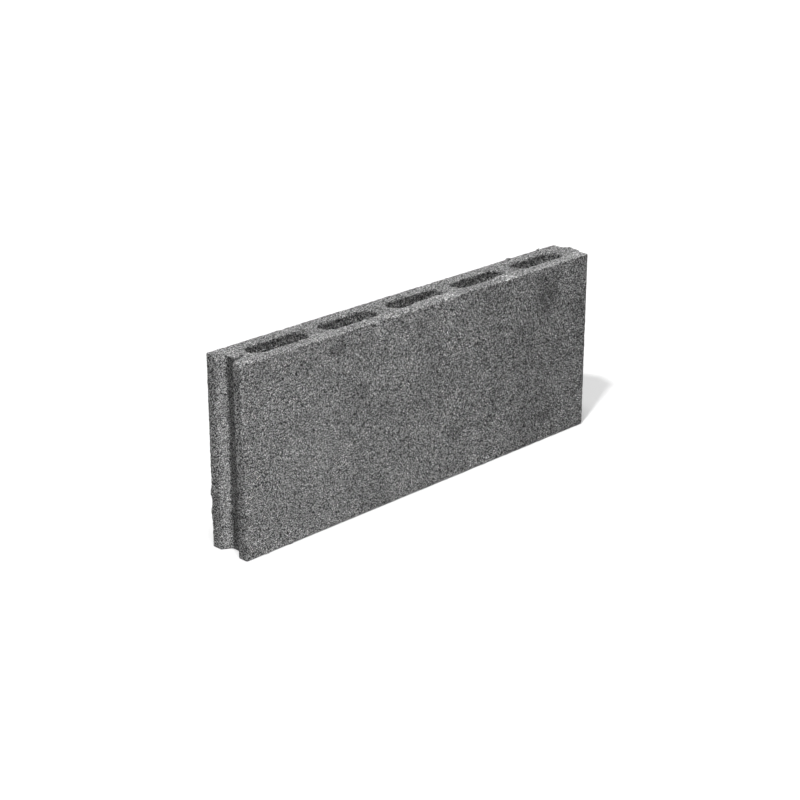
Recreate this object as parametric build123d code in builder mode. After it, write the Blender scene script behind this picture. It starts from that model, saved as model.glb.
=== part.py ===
from build123d import *
from math import radians, tan
import os

# Hollow concrete partition block, cast in one piece.
#
# It stands on its long bed face, as it leaves the mould. A single row of
# drafted cavities opens on the top face and is blind at the bottom. One end
# has a full-height groove, and the other end the tongue that enters it.
#
# Millimetres. X runs from the groove end to the tongue end, Y from the front
# face to the back face, and Z up. The origin is the middle of the base of the
# bounding box, tongue included.

# Overall sizes
face_length = 500.0  # from end face to end face, without the tongue
block_height = 200.0
block_thickness = 50.0

# Groove in one end
groove_mouth = 26.0  # width where it meets the end face
groove_flank = 5.5  # how far each side slopes in, measured across the thickness
groove_depth = 10.0

# Tongue on the other end
side_clearance = 1.0  # on each side of a tongue, in the mouth of the next groove
tip_clearance = 5.0  # left for mortar or grit beyond the tongue's tip
tongue_flank = 4.5  # how far each side slopes in, measured across the thickness

# Row of cavities
cavity_count = 5
face_shell = 14.0  # wall between a mouth and the front or the back face
inner_web = 20.0  # wall between two neighbouring mouths
groove_end_web = 20.5  # wall between the first mouth and the groove's floor
tongue_end_web = 22.0  # wall between the last mouth and the end face
cavity_floor = 15.0  # concrete left under each cavity
core_draft = 0.4  # degrees, so that each cavity narrows downwards
core_nose_radius = 5.0  # around the blind end
rim_bevel = 1.0  # around the mouth

# Outer edges
corner_radius = 1.5  # every upright edge
bed_edge_radius = 1.0  # around the top face and the bottom face

# Tongue, as the next block's groove needs it
tongue_height = groove_depth - tip_clearance
half_groove_mouth = groove_mouth / 2
half_tongue_root = half_groove_mouth - side_clearance

# Places along and across the block
groove_end = -(face_length + tongue_height) / 2
groove_bottom = groove_end + groove_depth
tongue_end = groove_end + face_length
tongue_tip = tongue_end + tongue_height
half_thickness = block_thickness / 2

# Cavities, sharing what the webs and shells leave
cavity_row_start = groove_bottom + groove_end_web
cavity_row_end = tongue_end - tongue_end_web
cavity_row_middle = (cavity_row_start + cavity_row_end) / 2
webs_between = (cavity_count - 1) * inner_web
cavity_length = (cavity_row_end - cavity_row_start - webs_between) / cavity_count
cavity_pitch = cavity_length + inner_web
cavity_width = block_thickness - 2 * face_shell
cavity_depth = block_height - cavity_floor

# The nose keeps a flat floor, however narrow the draft leaves the blind end
most_of_half_width = 0.8
blind_end_width = cavity_width - 2 * cavity_depth * tan(radians(core_draft))
nose_radius = min(core_nose_radius, most_of_half_width * blind_end_width / 2)

with BuildPart() as concrete_block:
    # Plan section, drawn as one half and mirrored across the thickness
    with BuildSketch() as plan:
        with BuildLine():
            Polyline(
                (groove_bottom, 0),
                (groove_bottom, half_groove_mouth - groove_flank),
                (groove_end, half_groove_mouth),
                (groove_end, half_thickness),
                (tongue_end, half_thickness),
                (tongue_end, half_tongue_root),
                (tongue_tip, half_tongue_root - tongue_flank),
                (tongue_tip, 0),
            )
            mirror(about=Plane.XZ)
        make_face()
        corners = plan.vertices().filter_by(lambda corner: corner.Y != 0)
        fillet(corners, corner_radius)
    extrude(amount=block_height)

    # Outline of the bottom face and of the top face
    beds = concrete_block.faces().filter_by(Axis.Z)
    fillet(beds.edges(), bed_edge_radius)

    # Drafted cavities, let in from the top
    with BuildSketch(Plane.XY.offset(block_height)):
        with Locations((cavity_row_middle, 0)):
            with GridLocations(cavity_pitch, 0, cavity_count, 1):
                SlotOverall(cavity_length, cavity_width)
    extrude(amount=-cavity_depth, taper=core_draft, mode=Mode.SUBTRACT)

    # Rounded blind ends
    blind_ends = concrete_block.faces(Select.LAST).filter_by(Axis.Z).group_by(Axis.Z)[0]
    fillet(blind_ends.edges(), nose_radius)

    # Bevelled mouths
    top_bed = concrete_block.faces().sort_by(Axis.Z)[-1]
    chamfer(top_bed.inner_wires().edges(), rim_bevel)

concrete_block.part.label = "concrete_block"

os.makedirs("parts", exist_ok=True)
export_step(concrete_block.part, "parts/concrete_block.step")
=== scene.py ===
"""Looks of the hollow concrete partition block: a worn, open-grained casting in soft studio light."""

from math import cos, pi, radians, sin

import bmesh
import bpy
import numpy as np
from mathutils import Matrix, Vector


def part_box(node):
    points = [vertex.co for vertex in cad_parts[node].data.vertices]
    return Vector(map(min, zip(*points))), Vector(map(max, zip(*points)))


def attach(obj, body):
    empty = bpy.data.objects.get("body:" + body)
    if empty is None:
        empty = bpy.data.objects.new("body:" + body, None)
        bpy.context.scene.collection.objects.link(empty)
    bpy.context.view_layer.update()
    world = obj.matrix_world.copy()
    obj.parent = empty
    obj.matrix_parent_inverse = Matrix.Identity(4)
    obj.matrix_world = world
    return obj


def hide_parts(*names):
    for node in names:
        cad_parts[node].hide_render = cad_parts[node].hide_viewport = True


MM = 0.001

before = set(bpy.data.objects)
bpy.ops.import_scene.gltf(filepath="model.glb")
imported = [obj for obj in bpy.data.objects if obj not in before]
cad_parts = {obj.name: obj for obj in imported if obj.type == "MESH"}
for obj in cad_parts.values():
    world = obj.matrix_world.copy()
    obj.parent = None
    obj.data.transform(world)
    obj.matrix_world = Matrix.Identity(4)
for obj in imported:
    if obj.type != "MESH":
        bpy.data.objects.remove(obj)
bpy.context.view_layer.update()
block_low, block_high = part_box("concrete_block")


# Camera, from the block's seven visible corners in the photograph

CAMERA_AZIMUTH = radians(-45.23)
CAMERA_ELEVATION = radians(21.2)
CAMERA_DISTANCE = 1.937
CAMERA_LENS_MM = 84.46
CAMERA_SENSOR_MM = 36
CAMERA_AIM = Vector((-0.0139, 0.0057, 0.0921))


def towards(azimuth, elevation):
    """Unit vector away from the block at these angles. Azimuth 0 is -Y, and -90 degrees is -X."""
    return Vector((
        sin(azimuth) * cos(elevation),
        -cos(azimuth) * cos(elevation),
        sin(elevation),
    ))


def aimed(obj, place, aim):
    obj.location = place
    obj.rotation_euler = (aim - place).to_track_quat("-Z", "Y").to_euler()
    bpy.context.scene.collection.objects.link(obj)
    return obj


def make_camera():
    camera = bpy.data.cameras.new("camera")
    camera.sensor_width = CAMERA_SENSOR_MM
    camera.lens = CAMERA_LENS_MM
    place = CAMERA_AIM + CAMERA_DISTANCE * towards(CAMERA_AZIMUTH, CAMERA_ELEVATION)
    bpy.context.scene.camera = aimed(bpy.data.objects.new("camera", camera), place, CAMERA_AIM)


# Fields of numbers, worked out at points given in millimetres

# Large multipliers that scatter the numbers of neighbouring cells
SCATTER_X = np.uint32(374761393)
SCATTER_Y = np.uint32(668265263)
SCATTER_Z = np.uint32(2147483647)
SCATTER_SEED = 1274126177
SCATTER_LAST = np.uint32(2246822519)
ALL_NUMBERS = 2**32

NOISE_GAIN = 1.6  # brings smooth noise near to the whole range from -1 to 1
SMALLEST_PIT = 0.35  # as a share of the largest


def hashed(cells, seed):
    """A fixed random number from 0 to 1 for each row of whole numbers."""
    cells = cells.astype(np.int64).astype(np.uint32)
    value = cells[..., 0] * SCATTER_X
    value = value + cells[..., 1] * SCATTER_Y
    value = value + cells[..., 2] * SCATTER_Z
    value = value + np.uint32(seed * SCATTER_SEED % ALL_NUMBERS)
    value = (value ^ (value >> np.uint32(13))) * np.uint32(SCATTER_SEED)
    value = (value ^ (value >> np.uint32(16))) * SCATTER_LAST
    value = value ^ (value >> np.uint32(15))
    return value / np.float64(ALL_NUMBERS)


def smooth_noise(points, size, seed):
    """Values from -1 to 1 that vary smoothly over about size."""
    scaled = points / size
    cell = np.floor(scaled)
    part = scaled - cell
    fade = part * part * part * (part * (part * 6 - 15) + 10)
    total = np.zeros(len(points))
    for corner in np.ndindex(2, 2, 2):
        corner = np.array(corner)
        here = cell + corner
        slope = np.stack([hashed(here, seed + axis) * 2 - 1 for axis in range(3)], axis=1)
        weight = np.prod(np.where(corner, fade, 1 - fade), axis=1)
        total += weight * np.sum(slope * (part - corner), axis=1)
    return total * NOISE_GAIN


def pits(points, spacing, largest, share, seed):
    """Depth of round hollows, left where a share of the cells holds a bubble of up to that radius."""
    cell = np.floor(points / spacing)
    depth = np.zeros(len(points))
    for offset in np.ndindex(3, 3, 3):
        here = cell + np.array(offset) - 1
        jitter = np.stack([hashed(here, seed + axis) for axis in range(3)], axis=1)
        centre = (here + jitter) * spacing
        radius = largest * (SMALLEST_PIT + (1 - SMALLEST_PIT) * hashed(here, seed + 3) ** 2)
        distance = np.linalg.norm(points - centre, axis=1)
        inside = np.clip(1 - (distance / radius) ** 2, 0, None)
        held = hashed(here, seed + 4) < share
        depth = np.maximum(depth, held * radius * np.sqrt(inside))
    return depth


def ramp(value, none, full):
    """0 where the value is at none or past it, 1 where it is at full, and smooth between them."""
    part = np.clip((value - none) / (full - none), 0, 1)
    return part * part * (3 - 2 * part)


# Meshes

VOXEL = 1.0 * MM
WELD = 0.001 * MM
MOST_TRIANGLES = 190_000
ARRIS_ANGLE = radians(38)


def copy_of_node(name):
    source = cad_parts[name]
    mesh = source.data.copy()
    mesh.materials.clear()
    shape = bmesh.new()
    shape.from_mesh(mesh)
    bmesh.ops.remove_doubles(shape, verts=shape.verts, dist=WELD)
    shape.to_mesh(mesh)
    shape.free()
    obj = bpy.data.objects.new("cast_block", mesh)
    bpy.context.scene.collection.objects.link(obj)
    return obj


def apply_modifiers(obj):
    graph = bpy.context.evaluated_depsgraph_get()
    mesh = bpy.data.meshes.new_from_object(obj.evaluated_get(graph))
    obj.modifiers.clear()
    old = obj.data
    obj.data = mesh
    bpy.data.meshes.remove(old)


def lay_even_grid(obj):
    modifier = obj.modifiers.new("even grid", "REMESH")
    modifier.mode = "VOXEL"
    modifier.voxel_size = VOXEL
    modifier.adaptivity = 0
    apply_modifiers(obj)


def thin_out(obj):
    triangles = sum(len(face.vertices) - 2 for face in obj.data.polygons)
    modifier = obj.modifiers.new("fewer faces", "DECIMATE")
    modifier.ratio = min(1, MOST_TRIANGLES / triangles)
    apply_modifiers(obj)


def points_of(mesh):
    flat = np.empty(len(mesh.vertices) * 3, np.float32)
    mesh.vertices.foreach_get("co", flat)
    return flat.reshape(-1, 3).astype(np.float64) / MM


def normals_of(mesh):
    flat = np.empty(len(mesh.vertices) * 3, np.float32)
    mesh.vertex_normals.foreach_get("vector", flat)
    return flat.reshape(-1, 3).astype(np.float64)


def set_points(mesh, points):
    mesh.vertices.foreach_set("co", (points * MM).astype(np.float32).ravel())
    mesh.update()


def relaxed(mesh, points, rounds):
    """Each point moved to the average of its neighbours, over and over."""
    ends = np.empty(len(mesh.edges) * 2, np.int32)
    mesh.edges.foreach_get("vertices", ends)
    a, b = ends.reshape(-1, 2).T
    count = np.bincount(a, minlength=len(points)) + np.bincount(b, minlength=len(points))
    for _ in range(rounds):
        total = np.stack([
            np.bincount(a, points[b, axis], len(points)) + np.bincount(b, points[a, axis], len(points))
            for axis in range(3)
        ], axis=1)
        points = total / count[:, None]
    return points


# Places on the block, in millimetres, with the corners of its box read from the frame

LEFT, FRONT, BOTTOM = block_low / MM
RIGHT, BACK, TOP = block_high / MM
WALL = 14.0
GROOVE_DEPTH = 10.0
GROOVE_HALF_MOUTH = 13.0
CAVITY_HALF_WIDTH = BACK - WALL
SHELL_INSIDE = FRONT + WALL
CAVITIES_START = LEFT + GROOVE_DEPTH + WALL
CAVITIES_END = RIGHT - 20
BELOW_CAVITIES = BOTTOM + 10


def near_top(points, none, full):
    """0 from that depth below the top face, rising to 1."""
    return ramp(points[:, 2], none=TOP - none, full=TOP - full)


def top_face(points):
    return near_top(points, none=3, full=1)


def facing_front(normals):
    return ramp(-normals[:, 1], none=0.5, full=0.9)


def how_deep_inside(points):
    """How far below the top face, on the cavity walls only."""
    x, y, z = points.T
    walls = (np.abs(y) < CAVITY_HALF_WIDTH + 1) & (x > CAVITIES_START) & (z > BELOW_CAVITIES)
    return np.where(walls, TOP - z, 0)


def within_groove(points):
    x, y, _ = points.T
    return (np.abs(y) < GROOVE_HALF_MOUTH) & (x < LEFT + GROOVE_DEPTH + 1)


def groove_shares(points, normals):
    """From 0 to 1: on the groove's sloped sides, on its floor, and on the narrow faces beside it."""
    x, y, _ = points.T
    outwards = -normals[:, 0]
    inside = within_groove(points)
    slopes = inside * ramp(np.abs(normals[:, 1]), none=0.5, full=0.8)
    floor = inside * ramp(outwards, none=0.8, full=0.95)
    floor *= ramp(x, none=LEFT + 6, full=LEFT + GROOVE_DEPTH - 1)
    floor *= ramp(y, none=8, full=5)
    beside = ramp(x, none=LEFT + 3.5, full=LEFT + 2.2) * ramp(outwards, none=0.15, full=0.5)
    beside *= ramp(np.abs(y), none=GROOVE_HALF_MOUTH - 1.5, full=GROOVE_HALF_MOUTH)
    return slopes, floor, beside


# How rough the casting is: 0 on a plain face, and 1 where it tore as it left the mould

GROOVE_FLOOR_ROUGHNESS = 0.8
BESIDE_GROOVE_ROUGHNESS = 0.6
TONGUE_HALF_ROUGHNESS = 1.5
TOP_ROUGHNESS = 0.45
MOULD_POLISH = 0.7


def roughness_of(points, normals):
    """The roughest of what each place has, less where the mould polished the groove's sides."""
    slopes, floor, beside = groove_shares(points, normals)
    deep = how_deep_inside(points)
    torn = ramp(deep, none=1, full=4) * ramp(deep, none=60, full=20)
    front = facing_front(normals) * ramp(points[:, 0], none=LEFT + 100, full=RIGHT - 70)
    parts = (
        torn,
        GROOVE_FLOOR_ROUGHNESS * floor,
        BESIDE_GROOVE_ROUGHNESS * beside,
        TONGUE_HALF_ROUGHNESS * front,
        TOP_ROUGHNESS * top_face(points),
    )
    return np.maximum.reduce(parts) - MOULD_POLISH * slopes


# Damage, each place given one by one

# Hollows where the casting lost a crumb: middle and radius
CHIPS = (
    ((-244.0, -8.7, 200.6), 2.6),
    ((-240.5, -7.8, 200.8), 2.3),
    ((-237.5, -7.0, 201.0), 2.2),
    ((-234.5, -6.0, 201.3), 2.2),
    ((-253.4, 25.8, 96.0), 2.6),
    ((-253.8, -12.5, 131.0), 2.4),
    ((-253.2, -25.9, 44.0), 2.6),
    ((-60.0, -25.8, 200.8), 2.2),
    ((118.0, -26.0, 201.0), 2.0),
    ((33.0, 25.5, 200.8), 2.6),
    ((249.0, -25.5, 62.0), 2.4),
    ((-128.0, -26.0, -0.5), 2.6),
    ((171.0, -25.8, -0.6), 2.4),
)

# Crumbs that stand proud of an edge: middle, radius and height
CRUMBS = (
    ((-252.0, 24.5, 58.0), 9.0, 0.9),
    ((-252.0, 24.5, 35.0), 10.0, 0.9),
    ((170.0, 24.5, 199.5), 4.2, 1.3),
    ((220.0, 24.5, 199.5), 4.2, 1.2),
    ((252.0, 4.0, 199.5), 3.5, 0.9),
    ((-226.0, -24.5, 0.5), 4.0, 0.9),
    ((-196.0, -24.5, 0.5), 3.5, 0.9),
)
CRUMB_FLAT_TOP = 0.3  # as a share of its radius
CRUMB_RAGGEDNESS = 0.5

# Ragged lips along the front rim of two mouths: middle along X, half length and how far they reach in
LIPS = (
    (10.0, 26.0, 2.8),
    (121.0, 14.0, 2.6),
)
LIP_FULL_PART = 0.6  # of its half length

CHIP_RAGGEDNESS = 0.25
CHIP_CENTRE = 0.2  # points nearer to a chip's middle than this count as this far away


def crumbs_height(points):
    height = np.zeros(len(points))
    for middle, radius, proud in CRUMBS:
        distance = np.linalg.norm(points - middle, axis=1)
        height = np.maximum(height, proud * ramp(distance, none=radius, full=CRUMB_FLAT_TOP * radius))
    return height * (1 + CRUMB_RAGGEDNESS * smooth_noise(points, size=2.6, seed=62))


def lipped(points):
    """Points on the front rim of the mouths, moved in over the mouth."""
    x, y, z = points.T
    on_rim = ramp(y, none=SHELL_INSIDE - 3, full=SHELL_INSIDE - 0.5) * (y < SHELL_INSIDE + 3)
    on_rim = on_rim * near_top(points, none=9, full=4)
    reach = sum(
        far * ramp(np.abs(x - middle) / half_length, none=1, full=LIP_FULL_PART)
        for middle, half_length, far in LIPS
    )
    ragged = np.clip(1 + smooth_noise(points, size=3.2, seed=63), 0.2, 1.8)
    return np.stack([x, y + on_rim * reach * ragged, z], axis=1)


def chipped(points):
    """Points inside a chip's ball are pushed out to its skin, which hollows the casting there."""
    ragged = 1 + CHIP_RAGGEDNESS * smooth_noise(points, size=1.8, seed=61)
    for middle, radius in CHIPS:
        away = points - middle
        far = np.maximum(np.linalg.norm(away, axis=1), CHIP_CENTRE)
        points = middle + away * np.maximum(radius * ragged / far, 1)[:, None]
    return points


# Wear of the edges, as shares of the way to the smoothed shape

SMOOTHING_ROUNDS = 6
EDGE_RELIEF = 0.25  # a full edge stands this far proud of the smoothed shape, in millimetres
SPARED = 0.62
RIM_WEAR = 0.4
MOST_WEAR = 0.6
GROOVE_ARRIS_WEAR = 0.5
WEAR_GAIN = 2
GROOVE_FILL = 1.5


def worn(mesh, points, normals):
    """Convex edges lose a little here and there, the cavities' rims most."""
    soft = relaxed(mesh, points, SMOOTHING_ROUNDS)
    proud = np.sum((points - soft) * normals, axis=1)
    edge = np.clip(proud / EDGE_RELIEF, 0, 1)
    x, y, z = points.T
    broken = smooth_noise(points, size=9, seed=11) + 0.7 * smooth_noise(points, size=3.2, seed=12)
    in_row = (x > CAVITIES_START) & (x < CAVITIES_END)
    rims = (np.abs(y) < CAVITY_HALF_WIDTH + 2) & in_row & (z > TOP - 3)
    wear = edge * np.clip(broken - SPARED + RIM_WEAR * rims, 0, MOST_WEAR)

    # The groove's front arris is rubbed round, and its inner corners are filled with fines
    arris = (x < LEFT + 3) & (np.abs(y + GROOVE_HALF_MOUTH) < 3) & (z > BOTTOM + 6)
    wear = np.maximum(wear, GROOVE_ARRIS_WEAR * edge * arris)
    filled = GROOVE_FILL * within_groove(points) * np.clip(-proud / EDGE_RELIEF, 0, 1)
    return points + (soft - points) * np.maximum(WEAR_GAIN * wear, filled)[:, None]


# Relief of the surface, in millimetres

PLAIN_DEPTH = 0.1
WAVE = 0.12
GRAIN = 0.11
LUMPS = 0.55
BUBBLE_SHARE = 0.7
CALM_DEPTHS = 0.8  # how much of the relief is gone from the depths of the cavities


def relief_depth(points, normals):
    """How far the surface lies below the mould's: grain and bubbles, gentler down in the cavities."""
    kept = 1 - CALM_DEPTHS * ramp(how_deep_inside(points), none=30, full=70)
    rough = np.clip(roughness_of(points, normals), 0, 1)
    grain = GRAIN * smooth_noise(points, size=3.0, seed=21) + GRAIN * smooth_noise(points, size=7, seed=22)
    lumps = LUMPS * rough * smooth_noise(points, size=4.5, seed=24)
    wave = WAVE * smooth_noise(points, size=45, seed=23)
    bubbles = np.maximum(
        pits(points, spacing=7, largest=1.9, share=0.4, seed=31),
        pits(points, spacing=19, largest=2.6, share=0.3, seed=41),
    )
    return PLAIN_DEPTH + wave - kept * (grain + lumps - BUBBLE_SHARE * bubbles) - crumbs_height(points)


def cast_surface(mesh):
    points = worn(mesh, points_of(mesh), normals_of(mesh))
    points = chipped(lipped(points))
    set_points(mesh, points)

    normals = normals_of(mesh)
    points = points - normals * relief_depth(points, normals)[:, None]
    points[:, 2] = np.maximum(points[:, 2], BOTTOM)  # nothing reaches below the floor it stands on
    set_points(mesh, points)


def make_block():
    obj = copy_of_node("concrete_block")
    lay_even_grid(obj)
    cast_surface(obj.data)
    thin_out(obj)
    obj.data.shade_smooth()
    obj.data.set_sharp_from_angle(angle=ARRIS_ANGLE)
    return obj


# Tone of the concrete, with painted light and shade in places, as a share of its plain grey. A part's own
# tone adds to 1.

# Clouds all over: size in millimetres, strength and seed
CLOUDS = (
    (80, 0.1, 50),
    (38, 0.12, 51),
    (14, 0.09, 52),
)

# The front face, lighter near the groove and darker towards the tongue: a painted fall-off of the light
FRONT_AT_GROOVE = 0.1
FRONT_PAST_GROOVE = -0.09
FRONT_AT_TONGUE = -0.18
# Painted shade in a thin band on the front face just under the top arris
FRONT_SHADE_UNDER_ARRIS = -0.1

# Damp marks on the front face: middle along X and up Z, half width, half height, and how dark
DAMP_MARKS = (
    (-129, 184, 11, 8, 0.42),
    (-95, 134, 9, 8, 0.34),
    (33, 50, 10, 10, 0.32),
    (181, 28, 12, 9, 0.34),
    (181, 172, 22, 27, 0.4),
    (-20, 176, 14, 10, 0.2),
    (140, 110, 24, 40, 0.18),
)
DAMP_RAGGEDNESS = 0.5

# The top face
TOP_FRONT_SHELL = 0.1
# Painted highlight on the top face along the front arris
TOP_ARRIS_HIGHLIGHT = 0.08
TOP_GROOVE_WEB = 0.14
TOP_BACK_SHELL = -0.02
TOP_WEBS = -0.1

# Crumbly, paler spots on the front shell's top: middle along X, half width, and how pale
PALE_SPOTS = (
    (31, 15, 1.0),
    (118, 19, 1.3),
)
SPECK_BASE = 0.2
SPECK_CONTRAST = 3
PALEST_SPECK = 2

# The groove end
GROOVE_SLOPES = 0.07
# Painted shade on the groove floor, deeper near the top
GROOVE_FLOOR_SHADE = -0.59
GROOVE_FLOOR_TOP_SHADE = -0.12
# Painted shade on the legs' end faces beside the groove, more on the front leg and most towards its foot
BESIDE_GROOVE_SHADE = -0.27
FRONT_LEG_SHADE = -0.06
FRONT_LEG_FOOT_SHADE = -0.1
# Painted highlight along the upright arris at the groove end
ARRIS_HIGHLIGHT = 0.5
HIGHLIGHT_AT_FOOT = 0.3  # how much of the painted highlight is left low down

# The cavity walls
# Painted shade just under the rim, and painted light lower down the walls
SHADE_UNDER_RIM = -0.46
LIGHT_BELOW_RIM = 0.62
MOTTLE = 0.45

# The crack across the web, from the groove's front corner, filled with painted shade: X and Y
CRACK_START = (-245.5, -9.0)
CRACK_END = (-233.5, -5.5)
CRACK_SHADE = -0.72
CRACK_RAGGEDNESS = 1.2


def front_toned(tone, points, normals):
    x, y, z = points.T
    front = facing_front(normals) * (y < FRONT + 3)
    # Painted fall-off of the light: lighter near the groove, darker towards the tongue
    fade = FRONT_AT_GROOVE + FRONT_PAST_GROOVE * ramp(x, none=LEFT, full=LEFT + 180)
    fade = fade + FRONT_AT_TONGUE * ramp(x, none=0, full=RIGHT)
    tone = tone * (1 + front * fade)
    ragged = DAMP_RAGGEDNESS * smooth_noise(points, size=9, seed=53)
    for middle_x, middle_z, half_width, half_height, dark in DAMP_MARKS:
        away = np.hypot((x - middle_x) / half_width, (z - middle_z) / half_height) + ragged
        tone = tone * (1 - front * dark * ramp(away, none=1.4, full=0.4))
    # Painted shade just under the top arris
    return tone * (1 + FRONT_SHADE_UNDER_ARRIS * front * near_top(points, none=5, full=2))


def top_toned(tone, points):
    """Palest on the front shell, which crumbled in places, with a painted highlight along its front arris.
    """
    x, y, _ = points.T
    top = top_face(points)
    tone = tone * (
        1
        + TOP_FRONT_SHELL * top * (y < SHELL_INSIDE + 2)
        # Painted highlight along the front arris
        + TOP_ARRIS_HIGHLIGHT * near_top(points, none=1, full=0.5) * ramp(y, none=FRONT + 4, full=FRONT + 2)
        + TOP_GROOVE_WEB * top * ramp(x, none=LEFT + 32, full=LEFT + 22)
        + TOP_BACK_SHELL * top * (y > CAVITY_HALF_WIDTH)
        + TOP_WEBS * top * (np.abs(y) < CAVITY_HALF_WIDTH) * (x > CAVITIES_START + 20)
    )
    shell = top * ramp(y, none=SHELL_INSIDE + 4, full=SHELL_INSIDE + 2)
    specks = np.clip(SPECK_BASE + SPECK_CONTRAST * smooth_noise(points, size=2.0, seed=57), 0, PALEST_SPECK)
    for middle_x, half_width, pale in PALE_SPOTS:
        near = ramp(np.abs(x - middle_x) / half_width, none=1, full=0.3)
        tone = tone + shell * near * pale * specks
    return tone


def groove_toned(tone, points, normals):
    """The groove's sloped sides are a little lighter; its floor and the legs' end faces beside it are
    darkened with painted shade.
    """
    _, y, z = points.T
    slopes, floor, beside = groove_shares(points, normals)
    tone = tone * (
        1
        + GROOVE_SLOPES * slopes
        # Painted shade on the groove floor
        + GROOVE_FLOOR_SHADE * floor
        + GROOVE_FLOOR_TOP_SHADE * floor * near_top(points, none=9, full=2)
        # Painted shade on the legs' end faces
        + BESIDE_GROOVE_SHADE * beside
    )
    # More painted shade on the front leg's end face, most towards the foot
    foot = ramp(z, none=BOTTOM + 115, full=BOTTOM + 70)
    return tone * (1 + beside * (y < 0) * (FRONT_LEG_SHADE + FRONT_LEG_FOOT_SHADE * foot))


def cavities_toned(tone, points):
    """Painted shade just under the rim, painted light lower down the walls, and mottled in the mouths."""
    x, y, _ = points.T
    deep = how_deep_inside(points)
    rim_shade = SHADE_UNDER_RIM * ramp(deep, none=0.5, full=2.5)
    pale = LIGHT_BELOW_RIM * ramp(deep, none=4.8, full=7.8)
    tone = tone * (1 + rim_shade + pale)
    in_mouths = ramp(np.abs(y), none=CAVITY_HALF_WIDTH + 3, full=CAVITY_HALF_WIDTH + 0.5)
    in_mouths = in_mouths * (x > CAVITIES_START) * (x < CAVITIES_END) * near_top(points, none=14, full=9)
    return tone + MOTTLE * in_mouths * np.clip(smooth_noise(points, size=3, seed=56), -0.5, 0.9)


def crack_shaded(tone, points):
    x, y, _ = points.T
    start_x, start_y = CRACK_START
    end_x, end_y = CRACK_END
    along = np.clip((x - start_x) / (end_x - start_x), 0, 1)
    crack_x = start_x + along * (end_x - start_x)
    crack_y = start_y + along * (end_y - start_y)
    off_crack = np.hypot(x - crack_x, y - crack_y)
    off_crack += CRACK_RAGGEDNESS * smooth_noise(points, size=2.5, seed=55)
    # Painted shade in the crack
    return tone * (1 + CRACK_SHADE * ramp(off_crack, none=2.4, full=0.9) * near_top(points, none=6, full=3))


def arris_highlighted(tone, points):
    """A painted highlight along the upright arris between the groove end and the front face, brightest near
    the top.
    """
    x, y, _ = points.T
    off_arris = np.abs(x - LEFT) + np.abs(y - FRONT)
    highlight = ramp(off_arris, none=2.2, full=1.2)
    highlight *= HIGHLIGHT_AT_FOOT + (1 - HIGHLIGHT_AT_FOOT) * near_top(points, none=110, full=20)
    return tone * (1 + ARRIS_HIGHLIGHT * highlight)


def tone_of(points, normals):
    tone = 1 + sum(strength * smooth_noise(points, size, seed) for size, strength, seed in CLOUDS)
    tone = front_toned(tone, points, normals)
    tone = top_toned(tone, points)
    tone = groove_toned(tone, points, normals)
    tone = cavities_toned(tone, points)
    tone = crack_shaded(tone, points)
    return arris_highlighted(tone, points)


def store(mesh, name, values):
    attribute = mesh.attributes.new(name, "FLOAT", "POINT")
    attribute.data.foreach_set("value", values.astype(np.float32))


# Materials

class Nodes:
    """Short forms for building a node tree."""

    def __init__(self, tree):
        self.tree = tree

    def add(self, kind, **settings):
        node = self.tree.nodes.new(kind)
        for key, value in settings.items():
            setattr(node, key, value)
        return node

    def link(self, source, target):
        self.tree.links.new(source, target)

    def put(self, value, target):
        """Links an output to the input, or sets the input to a number."""
        if isinstance(value, bpy.types.NodeSocket):
            self.link(value, target)
        else:
            target.default_value = value

    def math(self, operation, *values):
        node = self.add("ShaderNodeMath", operation=operation)
        for value, target in zip(values, node.inputs):
            self.put(value, target)
        return node.outputs[0]

    def remap(self, value, low, high, to_low, to_high, kind="LINEAR"):
        node = self.add("ShaderNodeMapRange", interpolation_type=kind)
        for source, name in (
            (value, "Value"),
            (low, "From Min"),
            (high, "From Max"),
            (to_low, "To Min"),
            (to_high, "To Max"),
        ):
            self.put(source, node.inputs[name])
        return node.outputs["Result"]

    def noise(self, place, size):
        """Smooth noise, mostly from 0.3 to 0.7, that varies over about size."""
        node = self.add("ShaderNodeTexNoise")
        self.link(place, node.inputs["Vector"])
        node.inputs["Scale"].default_value = 1 / size
        node.inputs["Detail"].default_value = 2
        node.inputs["Roughness"].default_value = 0.5
        return node

    def cells(self, place, size):
        node = self.add("ShaderNodeTexVoronoi", feature="F1")
        self.link(place, node.inputs["Vector"])
        node.inputs["Scale"].default_value = 1 / size
        return node

    def dice(self, cells):
        """Three random numbers from 0 to 1 for each cell."""
        node = self.add("ShaderNodeSeparateColor")
        self.link(cells.outputs["Color"], node.inputs[0])
        return node.outputs

    def between_bubbles(self, place, spacing, share_without, radii, rim):
        """0 in round hollows, at most one to a cell, and 1 between them. All but spacing are in cells."""
        cells = self.cells(place, spacing)
        radius = self.remap(self.dice(cells)[0], share_without, 1, *radii)
        past_rim = self.math("SUBTRACT", cells.outputs["Distance"], radius)
        return self.remap(past_rim, *rim, 0, 1, "SMOOTHSTEP")


def emptied(owner):
    """The owner's node tree with nothing in it."""
    owner.use_nodes = True
    owner.node_tree.nodes.clear()
    return Nodes(owner.node_tree)


# Sizes in the concrete
SAND = 1.15 * MM
SILT = 0.64 * MM
CLUMP = 9 * MM
PORE_SPACING = 2.9 * MM
HOLE_SPACING = 8 * MM
SHAKE_SIZE = 0.9 * MM
SHAKE_REACH = 0.6 * MM
BUMP = 0.7 * MM
TORN_BUMP = 0.35 * MM

# Heights, as shares of the bump
SILT_HEIGHT = 0.35
BUBBLE_HEIGHT = 1.5

# Shades, as shares of the plain grey
PLAIN_GREY = 0.447
MEAN_SHADE = 0.77
DARKEST_SHADE = 0.05
# Painted shade in pores and holes, and painted glints
PORE_SHADE = 0.08
HOLE_SHADE = 0.25
GLINT = 1.3
GLINT_LUCK = 0.985
LIVELINESS = 1.42
TORN_LIVELINESS = 0.45

SPECULAR = 0.25


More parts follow.
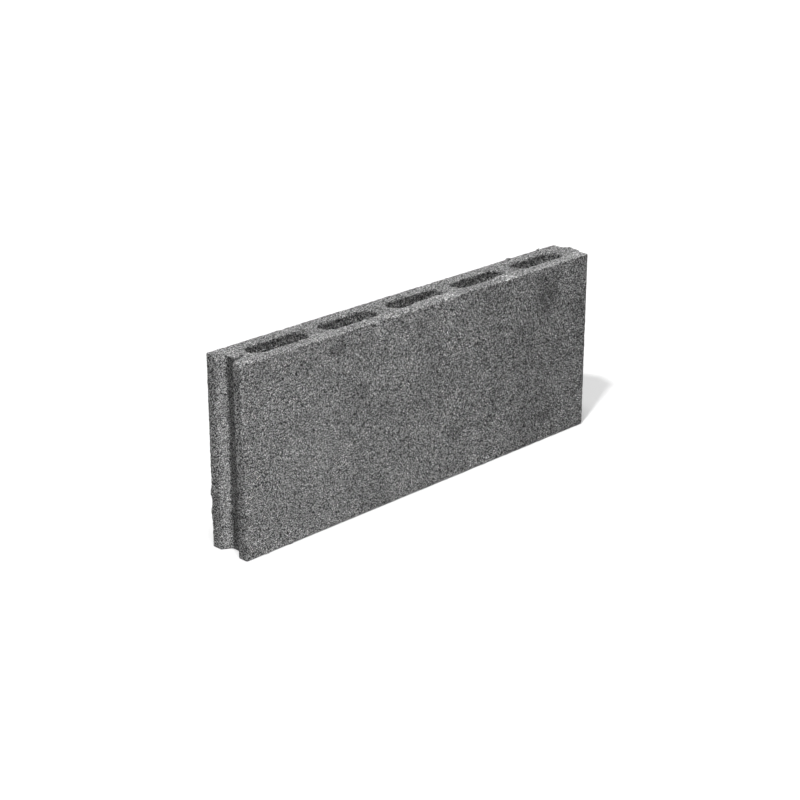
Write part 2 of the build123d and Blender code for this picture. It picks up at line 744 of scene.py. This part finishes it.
def concrete_material():
    """Sand grains of mixed greys in paler paste, with painted shade in the gaps between grains and in the
    pores and holes, and a few painted glints.
    """
    material = bpy.data.materials.new("pressed_concrete")
    n = emptied(material)
    place = n.add("ShaderNodeTexCoord").outputs["Object"]
    tone = n.add("ShaderNodeAttribute", attribute_name="tone").outputs["Fac"]
    torn = n.add("ShaderNodeAttribute", attribute_name="torn").outputs["Fac"]

    # Places are shaken a little, so that no grain is a plain cell
    shake = n.noise(place, SHAKE_SIZE)
    shift = n.add("ShaderNodeVectorMath", operation="MULTIPLY_ADD")
    n.link(shake.outputs["Color"], shift.inputs[0])
    shift.inputs[1].default_value = (SHAKE_REACH,) * 3
    n.link(place, shift.inputs[2])
    shaken = shift.outputs[0]

    sand = n.cells(shaken, SAND)
    silt = n.cells(place, SILT)
    clumps = n.noise(place, CLUMP).outputs["Fac"]
    sand_dice = n.dice(sand)
    silt_dice = n.dice(silt)
    sand_dome = n.remap(sand.outputs["Distance"], 0.2, 0.75, 1, 0, "SMOOTHSTEP")
    silt_dome = n.remap(silt.outputs["Distance"], 0.1, 0.7, 1, 0, "SMOOTHSTEP")

    # Small pores, and wide, shallow holes further apart, both dented and darkened with painted shade
    off_pores = n.between_bubbles(
        shaken, PORE_SPACING, share_without=0.4, radii=(0, 0.38), rim=(-0.05, 0.02))
    off_holes = n.between_bubbles(
        shaken, HOLE_SPACING, share_without=0.3, radii=(0.05, 0.17), rim=(-0.03, 0.02))

    height = n.math("MULTIPLY", sand_dome, n.remap(sand_dice[1], 0, 1, 0.5, 1))
    height = n.math("MULTIPLY_ADD", silt_dome, SILT_HEIGHT, height)
    height = n.math("MULTIPLY_ADD", off_pores, BUBBLE_HEIGHT, height)
    height = n.math("MULTIPLY_ADD", off_holes, BUBBLE_HEIGHT, height)

    shade = n.remap(sand_dice[0], 0, 1, 0.72, 1.28)
    # Painted shade in the gaps between sand grains
    shade = n.math("MULTIPLY", shade, n.remap(sand_dome, 0, 0.5, 0.35, 1.1))
    shade = n.math("MULTIPLY", shade, n.remap(silt_dice[0], 0, 1, 0.15, 1.85))
    # Painted shade in the gaps between silt grains
    shade = n.math("MULTIPLY", shade, n.remap(silt_dome, 0, 0.4, 0.7, 1.06))
    shade = n.math("MULTIPLY", shade, n.remap(clumps, 0.3, 0.7, 0.94, 1.06))
    # Painted shade in the pores
    shade = n.math("MULTIPLY", shade, n.remap(off_pores, 0, 1, PORE_SHADE, 1))
    # Painted glints on a few silt specks
    glint = n.math("GREATER_THAN", silt_dice[2], GLINT_LUCK)
    shade = n.math("MULTIPLY_ADD", glint, GLINT, shade)
    # Painted shade in the holes
    shade = n.math("MULTIPLY", shade, n.remap(off_holes, 0, 1, HOLE_SHADE, 1))

    # Torn places are livelier, and polished ones calmer
    liveliness = n.math("MULTIPLY_ADD", torn, TORN_LIVELINESS, LIVELINESS)
    shade = n.math("MULTIPLY_ADD", n.math("SUBTRACT", shade, MEAN_SHADE), liveliness, MEAN_SHADE)
    shade = n.math("MAXIMUM", shade, DARKEST_SHADE)

    grey = n.math("MULTIPLY", n.math("MULTIPLY", shade, tone), PLAIN_GREY)
    colour = n.add("ShaderNodeCombineColor")
    for socket in colour.inputs:
        n.link(grey, socket)

    bump = n.add("ShaderNodeBump")
    bump.inputs["Strength"].default_value = 1
    n.link(n.math("MULTIPLY_ADD", torn, TORN_BUMP, BUMP), bump.inputs["Distance"])
    n.link(height, bump.inputs["Height"])

    shader = n.add("ShaderNodeBsdfPrincipled")
    n.link(colour.outputs[0], shader.inputs["Base Color"])
    n.link(bump.outputs["Normal"], shader.inputs["Normal"])
    n.link(n.remap(sand_dice[1], 0, 1, 0.8, 1), shader.inputs["Roughness"])
    shader.inputs["Specular IOR Level"].default_value = SPECULAR
    output = n.add("ShaderNodeOutputMaterial")
    n.link(shader.outputs["BSDF"], output.inputs["Surface"])
    return material


# Studio

WHITE = (1, 1, 1, 1)
FLOOR_SIDE = 30.0
FLOOR_GLOW = 0.04
FLOOR_BOUNCE = (0.12, 0.12, 0.12, 1)
AMBIENT = 0.12
BACKGROUND = 1

# Far lights: azimuth, elevation and spread in degrees, and level as a share of white.
# The key light's angles follow from the tip of the shadow on the floor.
LAMPS = {
    "key": (-66.4, 54.8, 4, 0.5),
    "overhead_box": (-45, 80, 16, 0.46),
    "front_box": (-26, 10, 20, 0.34),
    "back_box": (150, 8, 14, 0.3),
}
LAMP_DISTANCE = 3


def seen_by_eye(n):
    """1 for rays from the camera, by way of gloss and glass too."""
    ray = n.add("ShaderNodeLightPath")
    seen = n.math("MAXIMUM", ray.outputs["Is Camera Ray"], ray.outputs["Is Glossy Ray"])
    return n.math("MAXIMUM", seen, ray.outputs["Is Transmission Ray"])


def mix_by_eye(n, unseen, seen, output):
    """The seen shader for rays that the eye follows, and the unseen one for all the rest."""
    mix = n.add("ShaderNodeMixShader")
    n.link(seen_by_eye(n), mix.inputs["Fac"])
    n.link(unseen.outputs[0], mix.inputs[1])
    n.link(seen.outputs[0], mix.inputs[2])
    n.link(mix.outputs[0], output.inputs["Surface"])


def floor_material():
    """Plain floor that the camera sees as white, darkened only by the block's shadow."""
    material = bpy.data.materials.new("studio_floor")
    n = emptied(material)
    plain = n.add("ShaderNodeBsdfDiffuse")
    plain.inputs["Color"].default_value = WHITE
    glow = n.add("ShaderNodeEmission")
    glow.inputs["Strength"].default_value = FLOOR_GLOW
    lifted = n.add("ShaderNodeAddShader")
    n.link(plain.outputs[0], lifted.inputs[0])
    n.link(glow.outputs[0], lifted.inputs[1])
    bounced = n.add("ShaderNodeBsdfDiffuse")
    bounced.inputs["Color"].default_value = FLOOR_BOUNCE
    mix_by_eye(n, bounced, lifted, n.add("ShaderNodeOutputMaterial"))
    return material


def make_floor():
    mesh = bpy.data.meshes.new("studio_floor")
    shape = bmesh.new()
    bmesh.ops.create_grid(shape, x_segments=1, y_segments=1, size=FLOOR_SIDE / 2)
    shape.to_mesh(mesh)
    shape.free()
    mesh.materials.append(floor_material())
    floor = bpy.data.objects.new("studio_floor", mesh)
    bpy.context.scene.collection.objects.link(floor)


def make_lamps():
    """Even lights, each of which lights a surface facing it at its share of white."""
    for name, (azimuth, elevation, spread, level) in LAMPS.items():
        lamp = bpy.data.lights.new(name, "SUN")
        lamp.energy = level * pi
        lamp.angle = radians(spread)
        place = LAMP_DISTANCE * towards(radians(azimuth), radians(elevation))
        aimed(bpy.data.objects.new(name, lamp), place, Vector((0, 0, 0)))


def make_world():
    world = bpy.data.worlds.new("studio")
    bpy.context.scene.world = world
    n = emptied(world)
    ambient = n.add("ShaderNodeBackground")
    ambient.inputs["Color"].default_value = WHITE
    ambient.inputs["Strength"].default_value = AMBIENT
    white = n.add("ShaderNodeBackground")
    white.inputs["Color"].default_value = WHITE
    white.inputs["Strength"].default_value = BACKGROUND
    mix_by_eye(n, ambient, white, n.add("ShaderNodeOutputWorld"))


bpy.context.scene.view_settings.view_transform = "Standard"
make_camera()
make_floor()
make_lamps()
make_world()

block = make_block()
final_points = points_of(block.data)
final_normals = normals_of(block.data)
store(block.data, "tone", tone_of(final_points, final_normals))
store(block.data, "torn", roughness_of(final_points, final_normals))
block.data.materials.append(concrete_material())
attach(block, "root")
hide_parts("concrete_block")
